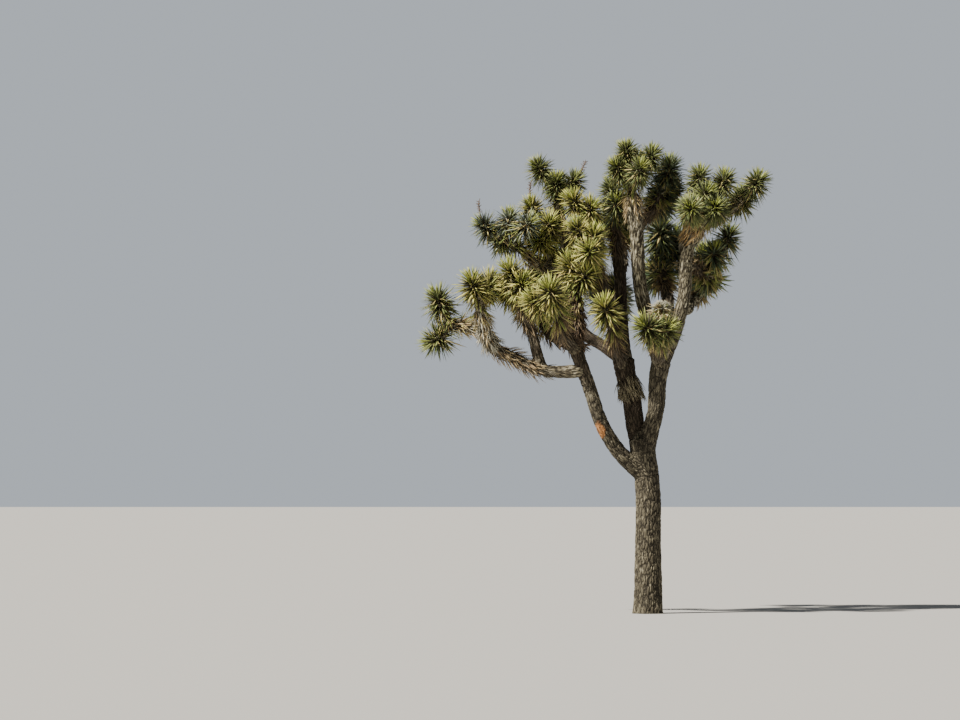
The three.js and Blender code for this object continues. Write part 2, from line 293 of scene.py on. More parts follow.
BOUGHS = [
    bough("bough_west", "trunk", 0.79, (-1.01, -0.33, 3.62), (0.12, 0.093), 0.56),
    bough("bough_middle", "trunk", 0.9, (-0.32, 0.15, 3.43), (0.134, 0.152), 0.3),
    bough("bough_east", "trunk", 0.9, (0.172, -0.12, 3.39), (0.128, 0.134), 0.36),
    bough("west_upright", "bough_west", 1, (-0.97, -0.33, 4.32), (0.092, 0.078), 0.1,
          heads=[(-1.05, -0.33, 4.705), (-0.835, -0.43, 4.575)]),
    bough("west_front", "bough_west", 0.96, (-1.25, -0.9, 3.98), (0.086, 0.074), 0.4,
          heads=[(-1.345, -1.18, 4.305), (-1.565, -1.0, 4.17)]),
    bough("west_shaded", "bough_west", 0.98, (-1.51, 0.18, 4.01), (0.086, 0.074), 0.3,
          heads=[(-1.68, 0.13, 4.19), (-1.55, 0.33, 4.31)]),
    bough("west_low", "bough_west", 0.82, (-2.13, -0.26, 3.6), (0.092, 0.08), 0.4),
    bough("west_rise", "west_low", 0.97, (-2.27, -0.46, 4.1), (0.078, 0.07), 0.5,
          heads=[(-2.37, -0.56, 4.445), (-2.135, -0.15, 4.47)]),
    bough("west_end", "west_low", 0.9, (-2.57, -0.06, 3.88), (0.074, 0.066), -0.5,
          heads=[(-2.84, 0.0, 4.265), (-2.905, 0.04, 3.66)]),
    bough("west_mid", "west_low", 0.42, (-1.73, -0.28, 4.27), (0.084, 0.072), 0.1,
          heads=[(-1.865, -0.35, 4.61), (-1.705, -0.48, 4.425), (-1.92, 0.0, 4.35)]),
    bough("northwest", "bough_middle", 1, (-1.03, 0.43, 3.96), (0.1, 0.09), 0.1),
    bough("northwest_rise", "northwest", 0.98, (-1.37, 0.24, 4.98), (0.092, 0.086), 0.1,
          heads=[(-1.57, 0.26, 5.53), (-1.32, 0.06, 5.285), (-1.475, 0.02, 5.05)]),
    bough("northwest_far", "northwest_rise", 0.7, (-1.84, 0.06, 5.0), (0.074, 0.066), 0.2,
          heads=[(-2.225, 0.08, 5.265), (-1.875, -0.06, 5.34), (-2.01, 0.2, 5.09),
                 (-1.6, -0.17, 5.265)]),
    bough("northwest_tall", "northwest", 0.9, (-1.2, 0.48, 5.58), (0.092, 0.074), 0.08,
          heads=[(-1.475, 0.5, 6.1), (-1.22, 0.36, 5.88), (-0.97, 0.6, 5.92)]),
    bough("centre_dark", "bough_middle", 1, (-0.43, 0.24, 5.3), (0.11, 0.08), 0.08,
          heads=[(-0.48, 0.14, 5.775), (-0.42, 0.02, 5.56)]),
    bough("centre_lit", "centre_dark", 0.1, (-0.74, -0.28, 4.8), (0.086, 0.072), 0.12,
          heads=[(-0.97, -0.33, 5.185), (-0.73, -0.42, 5.085), (-0.815, -0.56, 4.85)]),
    bough("northwest_front", "centre_lit", 0.55, (-0.8, 0.02, 5.26), (0.07, 0.064), 0.15,
          heads=[(-1.015, -0.06, 5.59), (-0.765, -0.12, 5.485)]),
    bough("centre_front", "bough_middle", 0.9, (-0.52, -0.44, 3.9), (0.074, 0.066), 0.3,
          heads=[(-0.6, -0.59, 4.115)]),
    bough("top", "bough_east", 0.99, (-0.21, -0.17, 5.63), (0.112, 0.1), 0, sets_off=(-0.35, 0, 0.94),
          heads=[(-0.295, -0.17, 6.26), (0.06, -0.15, 6.205), (-0.43, -0.27, 6.02),
                 (-0.115, -0.45, 5.98), (-0.13, 0.09, 6.14)]),
    bough("top_shaded", "top", 0.8, (0.17, 0.06, 5.64), (0.084, 0.074), 0.2,
          heads=[(0.3, 0.07, 6.055), (0.31, 0.26, 5.785), (0.165, 0.3, 5.505)]),
    bough("east", "bough_east", 0.99, (0.55, 0.06, 5.03), (0.108, 0.098), 0, sets_off=(0.5, 0.1, 0.8)),
    bough("east_inner", "east", 0.99, (0.6, -0.06, 5.42), (0.084, 0.074), 0.05,
          heads=[(0.705, -0.06, 5.93), (0.55, -0.52, 5.425), (0.79, -0.3, 5.66)]),
    bough("east_outer", "east", 0.98, (0.84, -0.06, 5.38), (0.084, 0.074), 0.2,
          heads=[(1.045, -0.03, 5.885), (0.89, -0.38, 5.45)]),
    bough("east_end", "east_outer", 0.6, (1.16, 0.21, 5.48), (0.07, 0.064), 0.15,
          heads=[(1.525, 0.24, 5.885), (1.325, 0.38, 5.66)]),
    bough("east_shaded", "east", 0.82, (0.82, 0.46, 4.6), (0.08, 0.072), 0.1,
          heads=[(1.14, 0.54, 5.155), (0.805, 0.68, 4.56), (0.92, 0.33, 4.915)]),
    bough("east_front", "bough_east", 0.94, (0.11, -0.6, 3.7), (0.08, 0.072), 0.3,
          heads=[(-0.08, -0.82, 3.835), (0.23, -0.75, 3.8), (0.165, -0.56, 4.085)]),
    bough("east_rear", "east", 0.3, (0.22, 0.74, 4.64), (0.086, 0.074), 0.2,
          heads=[(0.215, 0.78, 5.27), (0.165, 1.04, 4.64), (0.445, 0.96, 5.105)]),
    bough("rear_high", "centre_dark", 0.5, (-0.3, 1.04, 5.18), (0.082, 0.07), 0.2,
          heads=[(-0.16, 1.31, 5.36), (-0.45, 1.26, 5.41), (-0.23, 1.06, 5.57)]),
    bough("rear_low", "bough_middle", 0.8, (-0.42, 1.29, 4.14), (0.088, 0.074), 0.3,
          heads=[(-0.32, 1.55, 4.33), (-0.63, 1.48, 4.36), (-0.41, 1.33, 4.49),
                 (-0.38, 1.0, 4.48)]),
    bough("rear_west", "northwest", 0.7, (-1.37, 1.33, 4.44), (0.084, 0.072), 0.25,
          heads=[(-1.31, 1.63, 4.7), (-1.6, 1.56, 4.54), (-1.5, 1.38, 4.75),
                 (-1.25, 1.05, 4.85)]),
    bough("rear_middle", "centre_dark", 0.22, (-0.87, 1.06, 4.96), (0.084, 0.072), 0.15,
          heads=[(-0.91, 1.4, 5.15), (-1.16, 1.15, 5.2), (-0.87, 1.11, 5.3),
                 (-0.7, 0.8, 5.27)]),
    bough("rear_east", "east", 0.45, (0.8, 1.22, 4.48), (0.084, 0.072), 0.25,
          heads=[(0.785, 1.48, 4.67), (0.6, 1.55, 4.76), (0.85, 1.33, 4.96),
                 (0.82, 0.9, 4.9)]),
]


def unit(vector):
    return vector / np.linalg.norm(vector)


class Limb:
    """A limb's centre line and thickness, by the share of its length."""

    STATIONS = 201
    NUDGE = 1e-4

    def __init__(self, foot, tip, sets_off, arrives, crook, phase, radii, waist):
        foot, tip = np.array(foot, float), np.array(tip, float)
        handle = HANDLE * np.linalg.norm(tip - foot)
        self.corners = (foot, foot + unit(sets_off) * handle, tip - unit(arrives) * handle, tip)
        chord = unit(tip - foot)
        self.side = unit(np.cross(chord, CROOK_SIDE))
        self.back = np.cross(chord, self.side)
        self.crook, self.phase, self.radii, self.waist = crook, phase, radii, waist
        self.steps = np.linspace(0, 1, self.STATIONS)
        stations = self.bend(self.steps)
        runs = np.linalg.norm(np.diff(stations, axis=0), axis=1)
        self.lengths = np.concatenate(([0], np.cumsum(runs)))
        self.length = self.lengths[-1]

    def bend(self, t):
        t = np.asarray(t, float)[..., None]
        a, b, c, d = self.corners
        smooth = (1 - t) ** 3 * a + 3 * (1 - t) ** 2 * t * b + 3 * (1 - t) * t**2 * c + t**3 * d
        swing = self.crook * np.sin(math.pi * t)
        swing_side = np.sin(2 * math.pi * t + self.phase)
        swing_back = np.cos(4 * math.pi * t + self.phase)
        return smooth + swing * (swing_side * self.side + swing_back * self.back)

    def at(self, share):
        return self.bend(np.interp(np.asarray(share) * self.length, self.lengths, self.steps))

    def heading(self, share):
        t = np.interp(np.asarray(share) * self.length, self.lengths, self.steps)
        ahead, behind = np.minimum(t + self.NUDGE, 1), np.maximum(t - self.NUDGE, 0)
        way = self.bend(ahead) - self.bend(behind)
        return way / np.linalg.norm(way, axis=-1, keepdims=True)

    def radius(self, share):
        foot, tip = self.radii
        return (foot + (tip - foot) * share) * (1 - self.waist * np.sin(math.pi * share))


limbs = {"trunk": Limb(TRUNK_FOOT, TRUNK_TIP, UP, TRUNK_LEANS_TO, TRUNK_CROOK, 0, TRUNK_RADII, TRUNK_WAIST)}
for order, row in enumerate(BOUGHS):
    foot, tip = limbs[row["on"]].at(row["at"]), np.array(row["tip"])
    chord = unit(tip - foot)
    if row["sets_off"]:
        sets_off, arrives = np.array(row["sets_off"]), UP + chord
    else:
        sets_off, arrives = chord - UP * row["bow"], chord + UP * row["bow"]
    limbs[row["name"]] = Limb(foot, tip, sets_off, arrives, BOUGH_CROOK, order, row["radii"], BOUGH_WAIST)


# Twigs: the short stems, as thick as a wrist, that carry one head of leaves each.
# They fork just past a bough's tip, and each bends up into the head that it carries. One head is dead.
JOINT_GAP = 0.0003
STEM_LENGTH = 0.09
TWIG_RADIUS = 0.054
TWIG_TIP_RADIUS = 0.04
TWIG_LIFT = 0.35
TWIG_SWAY = 0.5
DRY_HEAD = (0.165, -0.56, 4.085)

twigs = []
crowns = []
carriers = [row for row in BOUGHS if row["heads"]]
for row in carriers:
    limb = limbs[row["name"]]
    heading = limb.heading(1.0)
    fork = limb.at(1.0) + heading * (JOINT_GAP + STEM_LENGTH)
    twigs.append((row["name"], limb.at(1.0), fork, heading, heading))
    for place in np.array(row["heads"]):
        way = unit(place - fork)
        axis = unit(way + UP * TWIG_LIFT)
        twigs.append((row["name"], fork, place, unit(way + heading * TWIG_SWAY), axis))
        crowns.append({"mass": row["name"], "place": place, "axis": axis, "dry": tuple(place) == DRY_HEAD})


# Bark: corky plates over trunk, boughs and twigs, in five skins that are each grown together at the forks.
# It is dark and furrowed on the trunk, and paler, greyer and shaggy on the younger wood, where the
# stubs of dead leaves still cling.
LEAST_RINGS = 8
RING_SPACING = 0.03
RING_SIDES = 28
TWIG_RINGS = 8
TWIG_COVER = 0.008
KNUCKLE = 0.14
KNUCKLE_LENGTH = 0.12
TRUNK_GRAIN = 0.0098
BOUGH_GRAIN = 0.0155
SMOOTHING = 4
STUB_REACH = 0.4
BARE_REACH = 3.0
SKINS = {
    "bark_trunk": ("trunk", "bough"),
    "bark_west": ("west",),
    "bark_middle": ("northwest", "centre"),
    "bark_east": ("top", "east"),
    "bark_rear": ("rear",),
}


class Recipe(Sheet):
    """A Geometry Nodes tree with named inputs, which grows a plain mesh from another one."""

    SOCKETS = {float: "NodeSocketFloat", int: "NodeSocketInt"}

    def __init__(self, name, **sizes):
        super().__init__(bpy.data.node_groups.new(name, "GeometryNodeTree"))
        faces = self.tree.interface
        faces.new_socket("Geometry", in_out="INPUT", socket_type="NodeSocketGeometry")
        faces.new_socket("Geometry", in_out="OUTPUT", socket_type="NodeSocketGeometry")
        self.sizes = {}
        for label, size in sizes.items():
            socket = faces.new_socket(label, in_out="INPUT", socket_type=self.SOCKETS[type(size)])
            socket.default_value = size
            self.sizes[label] = socket.identifier
        self.mesh = self.given("Geometry")

    def given(self, label):
        return self.node("NodeGroupInput", take=label)

    def attribute(self, name, kind="FLOAT"):
        return self.node("GeometryNodeInputNamedAttribute", {"data_type": kind}, {"Name": name})

    def store(self, geometry, name, value, domain="POINT"):
        settings = {"data_type": "FLOAT", "domain": domain}
        feeds = {0: geometry, "Name": name, "Value": value}
        return self.node("GeometryNodeStoreNamedAttribute", settings, feeds)

    def height(self):
        """How high every corner or point is above the ground."""
        place = self.node("GeometryNodeInputPosition")
        return self.node("ShaderNodeSeparateXYZ", None, {0: place}, take="Z")

    def chance(self, low, high, seed):
        """A random number for every point."""
        feeds = {"Min": low, "Max": high, "Seed": seed}
        return self.node("FunctionNodeRandomValue", {"data_type": "FLOAT"}, feeds)

    def bow(self, steps, middle, end):
        """A curve that starts at the origin."""
        feeds = {"Resolution": steps, "Start": (0, 0, 0), "Middle": middle, "End": end}
        return self.node("GeometryNodeCurveQuadraticBezier", None, feeds)

    def ring(self, sides, radius):
        return self.node("GeometryNodeCurvePrimitiveCircle", None, {"Resolution": sides, "Radius": radius})

    def rod(self, spine, section, width):
        """A section carried along a curve, and closed at both ends."""
        feeds = {"Curve": spine, "Profile Curve": section, "Scale": width, "Fill Caps": True}
        return self.node("GeometryNodeCurveToMesh", None, feeds)

    def copied(self, pattern, places, rotation, size=(1, 1, 1)):
        """A copy of a pattern at every place."""
        feeds = {"Points": places, "Instance": pattern, "Rotation": rotation, "Scale": size}
        return self.node("GeometryNodeInstanceOnPoints", None, feeds)

    def close(self, geometry, finish):
        """Ends the tree with one real mesh of one material."""
        whole = self.node("GeometryNodeRealizeInstances", None, {0: geometry})
        dressed = self.node("GeometryNodeSetMaterial", None, {0: whole, "Material": finish.material})
        self.node("NodeGroupOutput", None, {0: dressed}, take=[])

    def grow(self, name, mesh, **sizes):
        """A plain object grown from a mesh, with the sizes given in place of the usual ones."""
        piece = placed(name, mesh)
        modifier = piece.modifiers.new("growth", "NODES")
        modifier.node_group = self.tree
        for label, size in sizes.items():
            modifier[self.sizes[label]] = size
        return settle(piece)


def settle(piece):
    """Turns a piece with modifiers into the plain mesh that they make."""
    seen = piece.evaluated_get(bpy.context.evaluated_depsgraph_get())
    plain = bpy.data.meshes.new_from_object(seen)
    rough = piece.data
    piece.modifiers.clear()
    piece.data = plain
    bpy.data.meshes.remove(rough)
    plain.name = piece.name
    return piece


for mass, start, end, way, rise in twigs:
    name = f"twig {len(limbs)}"
    radii = (TWIG_RADIUS + TWIG_COVER, TWIG_TIP_RADIUS + TWIG_COVER)
    limbs[name] = Limb(start, end, way, rise, 0, 0, radii, 0)
    limbs[name].mass = mass

# The age of the wood is its distance from a head, along the wood. Past COAT_FROM, two boughs keep their
# coat of dead leaves for longer. Another one loses it sooner, and the dead head's twig bears no green.
LONGER_COAT = {"west_low": 1.0, "northwest": 0.5}
COAT_FROM = 0.65
SHORTER_COAT = {"east_front": 1.6}
DRY_LENGTH = 0.4
to_head = {name: 0.0 for name in limbs if name.startswith("twig")}
to_head.update({name: DRY_LENGTH for name in to_head if np.allclose(limbs[name].corners[3], DRY_HEAD)})
for row in reversed([{"name": "trunk", "heads": None}, *BOUGHS]):
    if row["heads"]:
        to_head[row["name"]] = np.linalg.norm(np.array(row["heads"]) - row["tip"], axis=1).min()
    else:
        above = [child for child in BOUGHS if child["on"] == row["name"]]
        beyond = [to_head[child["name"]] + limbs[child["name"]].length for child in above]
        past = [(1 - child["at"]) * limbs[row["name"]].length for child in above]
        to_head[row["name"]] = max(way - short for way, short in zip(beyond, past))


def limb_rings(limb, count):
    """Places along a limb with its heading and two directions square to it, carried along untwisted."""
    shares = np.linspace(0, 1, count)
    places, headings = limb.at(shares), limb.heading(shares)
    start = np.zeros(3)
    start[np.argmin(np.abs(headings[0]))] = 1
    side = np.cross(headings[0], unit(np.cross(headings[0], start)))
    sides = []
    for heading in headings:
        side = unit(side - heading * side.dot(heading))
        sides.append(side)
    sides = np.array(sides)
    return shares, places, headings, sides, np.cross(sides, headings)


def limb_shell(name):
    """A closed tube round one limb, as a list of corners and of faces."""
    limb = limbs[name]
    count = TWIG_RINGS if name.startswith("twig") else max(LEAST_RINGS, int(limb.length / RING_SPACING))
    shares, places, _, sides, backs = limb_rings(limb, count)
    turns = np.linspace(0, 2 * math.pi, RING_SIDES, endpoint=False)
    radii = np.repeat(limb.radius(shares)[:, None], RING_SIDES, axis=1)
    if name == "trunk":
        heights = places[:, 2:3]
        ridges = 1 + RIDGE_DEPTH * np.cos(FLARE_RIDGES * turns)[None]
        radii *= 1 + FLARE_SPREAD * np.exp(-heights / FLARE_HEIGHT) * ridges
    else:
        radii *= 1 + KNUCKLE * np.exp(-shares * limb.length / KNUCKLE_LENGTH)[:, None]
    across = np.cos(turns)[None, :, None] * sides[:, None] + np.sin(turns)[None, :, None] * backs[:, None]
    corners = (places[:, None] + across * radii[..., None]).reshape(-1, 3)
    faces = [tuple(range(RING_SIDES))]
    for ring in range(count - 1):
        low = ring * RING_SIDES
        for k in range(RING_SIDES):
            after = (k + 1) % RING_SIDES
            faces.append((low + after, low + k, low + RING_SIDES + k, low + RING_SIDES + after))
    faces.append(tuple(reversed(range((count - 1) * RING_SIDES, count * RING_SIDES))))
    return corners, faces


def grown_together(name, members, grain):
    """One closed skin round several limbs, cut flat at the ground, with faces of the grain's size."""
    corners, faces = [], []
    for member in members:
        shell, rings = limb_shell(member)
        start = sum(map(len, corners))
        corners.append(shell)
        faces += [tuple(start + k for k in face) for face in rings]
    mesh = bpy.data.meshes.new(name)
    mesh.from_pydata(np.concatenate(corners).tolist(), [], faces)
    skin = placed(name, mesh)
    fuse = skin.modifiers.new("fuse", "REMESH")
    fuse.mode = "VOXEL"
    fuse.voxel_size = grain
    ease = skin.modifiers.new("ease", "SMOOTH")
    ease.iterations = SMOOTHING
    settle(skin)
    sheet = bmesh.new()
    sheet.from_mesh(skin.data)
    everything = sheet.verts[:] + sheet.edges[:] + sheet.faces[:]
    bmesh.ops.bisect_plane(sheet, geom=everything, plane_co=(0, 0, 0), plane_no=(0, 0, 1), clear_inner=True)
    rim = [edge for edge in sheet.edges if edge.is_boundary]
    bmesh.ops.holes_fill(sheet, edges=rim, sides=0)
    bmesh.ops.recalc_face_normals(sheet, faces=sheet.faces)
    sheet.to_mesh(skin.data)
    sheet.free()
    fused = skin.data
    bpy.data.objects.remove(skin)
    return fused


# Painted shade: bark in the crown's shadow is painted dark brown. The table gives how far up a limb the
# bark keeps its own colours, and how much of them is left beyond that. Limbs that aren't named are not
# painted dark.
PAINTED_SHADE_BEYOND = {
    "bough_west": (1.45, 0.2), "bough_middle": (0, 0.15), "centre_dark": (0, 0.1), "northwest": (0, 0.1),
    "west_low": (0, 0.7), "west_upright": (0, 0.2), "west_front": (0, 0.2), "west_shaded": (0, 0.1),
    "west_mid": (0, 0.25), "centre_front": (0, 0.1), "centre_lit": (0, 0.2), "east_front": (0, 0.3),
    "top_shaded": (0, 0.1), "east_shaded": (0, 0.2), "east_rear": (0, 0.3), "rear_high": (0, 0.3),
    "rear_middle": (0, 0.3),
}
SHADE_PAINT_FADE = 0.25
GRAIN_STEP = 0.02
LIMBS_APART = 3.7


def lay_grain(mesh, members):
    """Notes at every corner how the bark runs there, how near the heads are, and how much painted shade it
    gets.
    """
    rows = []
    for order, member in enumerate(members):
        limb = limbs[member]
        count = max(LEAST_RINGS, int(limb.length / GRAIN_STEP))
        shares, places, headings, sides, backs = limb_rings(limb, count)
        left = (to_head[member] + (1 - shares) * limb.length) * SHORTER_COAT.get(member, 1.0)
        left = np.where(left > COAT_FROM, np.maximum(left - LONGER_COAT.get(member, 0.0), COAT_FROM), left)
        run = shares * limb.length + LIMBS_APART * order
        beyond, least = PAINTED_SHADE_BEYOND.get(member, (limb.length, 1.0))
        # Painted light share: 1 keeps the bark's own colours, and less paints shade on it
        sun_or_shade_paint = 1 - (1 - least) * np.clip((shares * limb.length - beyond) / SHADE_PAINT_FADE, 0, 1)
        rows.append(np.column_stack((places, headings, sides, backs, run, left, sun_or_shade_paint)))
    rows = np.concatenate(rows)
    axis = kdtree.KDTree(len(rows))
    for k, place in enumerate(rows[:, :3]):
        axis.insert(place, k)
    axis.balance()
    corners = np.empty(len(mesh.vertices) * 3)
    mesh.vertices.foreach_get("co", corners)
    corners = corners.reshape(-1, 3)
    nearest = rows[[axis.find(corner)[1] for corner in corners]]
    place, *frames = np.split(nearest[:, :12], 4, axis=1)
    run, left, sun_or_shade_paint = nearest[:, 12:].T
    along, across, deep = (np.einsum("ij,ij->i", corners - place, way) for way in frames)
    note(mesh, "grain", "FLOAT_VECTOR", np.column_stack((across, deep, run + along)))
    note(mesh, "down", "FLOAT_VECTOR", -frames[0])
    note(mesh, "left", "FLOAT", left - along)
    note(mesh, "bleached", "FLOAT", sun_or_shade_paint)


def note(mesh, name, kind, values):
    """Keeps a value for every corner of a mesh under a name."""
    kept = mesh.attributes.new(name, kind, "POINT")
    field = "vector" if kind == "FLOAT_VECTOR" else "value"
    kept.data.foreach_set(field, np.ascontiguousarray(values, float).ravel())


# The plates are about four times as tall as wide. Young wood has shallower furrows and is more ragged.
PLATE_WIDTH = 0.036
PLATE_SHARE = (1.0, 1.0, 0.26)
WOBBLES_PER_METRE = 9.0
WOBBLE = 0.09
PLATE_SHOULDER = 0.22
FLAKE_SHARE = (1.0, 1.0, 0.25)
FLAKES_PER_METRE = 26.0
LUMPS_PER_METRE = 4.0
OLD_FURROW, YOUNG_FURROW_LESS = 0.72, 0.22
OLD_SHAG, YOUNG_SHAG_MORE = 0.4, 1.2
CUT_CLEARANCE = 0.03


def plate_edge(sheet, grain):
    """How far inside its corky plate a place on the bark is, from 0 in the furrow."""
    wobble = sheet.noise(grain, WOBBLES_PER_METRE, detail=3.0, take="Color")
    wobble = (wobble - (0.5, 0.5, 0.5)) * WOBBLE
    cells = {"Vector": (grain + wobble) * PLATE_SHARE, "Scale": 1 / PLATE_WIDTH, "Randomness": 1.0}
    return sheet.node("ShaderNodeTexVoronoi", {"feature": "DISTANCE_TO_EDGE"}, cells)


relief = Recipe("bark relief", furrow=0.014, shag=0.012, lumps=0.022)
grain = relief.attribute("grain", "FLOAT_VECTOR")
plate = relief.passed(plate_edge(relief, grain), 0.0, PLATE_SHOULDER, easing="SMOOTHSTEP")
young = relief.passed(relief.attribute("left"), BARE_REACH, STUB_REACH)
flakes = relief.noise(grain * FLAKE_SHARE, FLAKES_PER_METRE, detail=3.0)
lump = relief.noise(grain, LUMPS_PER_METRE, detail=1.0)
rise = (plate - 1) * relief.given("furrow") * (OLD_FURROW - YOUNG_FURROW_LESS * young)
rise = rise + (flakes - 0.5) * relief.given("shag") * (OLD_SHAG + YOUNG_SHAG_MORE * young)
rise = rise + (lump - 0.5) * relief.given("lumps")
held = relief.passed(relief.height(), 0.0, CUT_CLEARANCE)
offset = relief.node("GeometryNodeInputNormal") * (rise * held)
raised = relief.store(relief.mesh, "young", young)
raised = relief.node("GeometryNodeSetPosition", None, {"Geometry": raised, "Offset": offset})

# The bark's colours: brown-grey plates with dark furrows low down, pale grey-tan stubs near the heads,
# and dark brown painted shade where the crown's shadow falls
PLATE_COLOUR = (0.122, 0.106, 0.072)
FURROW_COLOUR = (0.024, 0.02, 0.014)
FLECK_COLOUR = (0.33, 0.295, 0.2)
STUB_COLOUR = (0.315, 0.28, 0.18)
GAP_COLOUR = (0.02, 0.016, 0.01)
PALE_STUB_COLOUR = (0.66, 0.61, 0.45)
SHADED_BARK_PAINT = (0.048, 0.034, 0.024)
SHADED_FLECK_PAINT = (0.095, 0.07, 0.047)
OLD_CRACKS = 0.6
OLD_FLECKS = 0.7
STUB_CONTRAST = 0.92
FURROW_EDGES = (0.03, 0.2)
FLECK_EDGES = (0.8, 0.95)
CRACK_EDGES = (0.55, 0.42)
GROOVE_EDGES = (0.36, 0.56)
FIBRE_STRENGTH = 0.9
FIBRE_HEIGHT = 0.006
STREAK_SHARE = (1.0, 1.0, 0.16)
STREAKS_PER_METRE = 55.0
PATCHES_PER_METRE = 9.0

# The scar on the west bough, where bark has come away from weathered orange wood
WOOD_COLOUR = (0.46, 0.215, 0.08)
WOOD_DARK = (0.13, 0.058, 0.025)
SCAR_MIDDLE = (-0.69, -0.27, 2.44)
SCAR_SQUASH = 0.7
SCAR_RADIUS = 0.172
SCAR_HEART = 0.8
SCAR_FRAY = 0.13
BARK_ROUGHNESS = 0.96
STREAK_GLOSS = 0.14

bark = Finish("bark", Specular_IOR_Level=0.2)
grain = bark.noted("grain", "Vector")
plate = bark.passed(plate_edge(bark, grain), *FURROW_EDGES)
streaks = bark.noise(grain * STREAK_SHARE, STREAKS_PER_METRE, detail=5.0, roughness=0.65)
patches = bark.noise(grain, PATCHES_PER_METRE, detail=3.0)
flecks = bark.passed(streaks + patches * 0.5, *FLECK_EDGES)
cracks = bark.passed(streaks, *CRACK_EDGES)
old_bark = bark.blend(plate, FURROW_COLOUR, PLATE_COLOUR)
old_bark = bark.blend(cracks * OLD_CRACKS, old_bark, FURROW_COLOUR)
old_bark = bark.blend(flecks * OLD_FLECKS, old_bark, FLECK_COLOUR)
new_bark = bark.blend(plate * STUB_CONTRAST + (1 - STUB_CONTRAST), GAP_COLOUR, STUB_COLOUR)
new_bark = bark.blend(cracks, new_bark, GAP_COLOUR)
new_bark = bark.blend(flecks, new_bark, PALE_STUB_COLOUR)
# Painted shade: dark brown bark for the limbs in the crown's shadow
bark_in_painted_shade = bark.blend(plate, GAP_COLOUR, SHADED_BARK_PAINT)
bark_in_painted_shade = bark.blend(flecks, bark_in_painted_shade, SHADED_FLECK_PAINT)
whole_bark = bark.blend(bark.noted("young"), old_bark, new_bark)
# The painted light share lays the painted shade over the bark's own colours
whole_bark = bark.blend(bark.noted("bleached"), bark_in_painted_shade, whole_bark)
bare_wood = bark.blend(bark.passed(streaks, *GROOVE_EDGES), WOOD_DARK, WOOD_COLOUR)
spot = (bark.place() - SCAR_MIDDLE) * (1.0, 1.0, SCAR_SQUASH)
spot = bark.vector("LENGTH", spot, take="Value") + patches * SCAR_FRAY
scar = bark.passed(spot, SCAR_RADIUS, SCAR_RADIUS * SCAR_HEART)
bark.set("Base Color", bark.blend(scar, whole_bark, bare_wood))
bark.set("Roughness", BARK_ROUGHNESS - streaks * STREAK_GLOSS)
fibre = {"Strength": FIBRE_STRENGTH, "Distance": FIBRE_HEIGHT, "Height": streaks + plate * 0.5}
bark.set("Normal", bark.node("ShaderNodeBump", None, fibre))
relief.close(raised, bark)

for name, starts in SKINS.items():
    members = [limb for limb in limbs if limb.startswith(starts)]
    twigs_too = [limb for limb in limbs if limb.startswith("twig") and limbs[limb].mass in members]
    grain_size = TRUNK_GRAIN if "trunk" in members else BOUGH_GRAIN
    mesh = grown_together(name + " smooth", members + twigs_too, grain_size)
    lay_grain(mesh, members + twigs_too)
    skin = relief.grow(name, mesh)
    for polygon in skin.data.polygons:
        polygon.use_smooth = True
    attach(skin, "root")
    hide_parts(*members)


# Leaves: stiff evergreen daggers, each with a keel below and a sharp brown tip.
# They stand round the last of each twig in a spiral, the youngest in the middle of the head.
LEAF_SEGMENTS = 3
LEAF_SIDES = 3
FOOT_WIDTH = 0.7
SWELLS_BY = 1.5
POINT_SHARPNESS = 3.0
KEEL_DOWN = (0, 0, math.pi / 2)
GOLDEN_ANGLE = math.pi * (3 - math.sqrt(5))
RIGHT = (1.0, 0.0, 0.0)
SEAM = 1e-4


class LeafRecipe(Recipe):
    """A recipe that sets out daggers of one kind."""

    def dagger(self):
        """One leaf along +X with its upper face up, widest near its foot and arched a little."""
        length = self.given("length")
        spine = self.bow(LEAF_SEGMENTS, self.point(length * 0.5, z=self.given("arch")), self.point(length))
        along = self.node("GeometryNodeSplineParameter", take="Factor")
        spine = self.store(spine, "along", along)
        swell = self.math("MINIMUM", FOOT_WIDTH + along * SWELLS_BY, 1.0)
        taper = 1 - self.math("POWER", along, POINT_SHARPNESS)
        flat = self.point(self.given("thickness"), self.given("half_width"), 1.0)
        section = {"Geometry": self.ring(LEAF_SIDES, 1.0), "Scale": flat, "Rotation": KEEL_DOWN}
        section = self.node("GeometryNodeTransform", None, section)
        blade = self.rod(spine, section, swell * taper)
        return self.node("GeometryNodeMergeByDistance", None, {"Geometry": blade, "Distance": SEAM})

    def set_out(self, places, heading, face, size, finish):
        """Daggers at places, each along its heading, with its upper face and its size as given."""
        twist = self.chance(-1.0, 1.0, seed=13) * self.given("twist")
        face = face + self.vector("CROSS_PRODUCT", heading, face) * twist
        axes = {"primary_axis": "X", "secondary_axis": "Z"}
        ways = {"Primary Axis": heading, "Secondary Axis": face}
        rotation = self.node("FunctionNodeAxesToRotation", axes, ways)
        size = size * self.chance(1 - self.given("unevenness"), 1.0, seed=11)
        leaves = self.copied(self.dagger(), places, rotation, size)
        leaves = self.store(leaves, "tone", self.chance(0.0, 1.0, seed=12), "INSTANCE")
        self.close(leaves, finish)


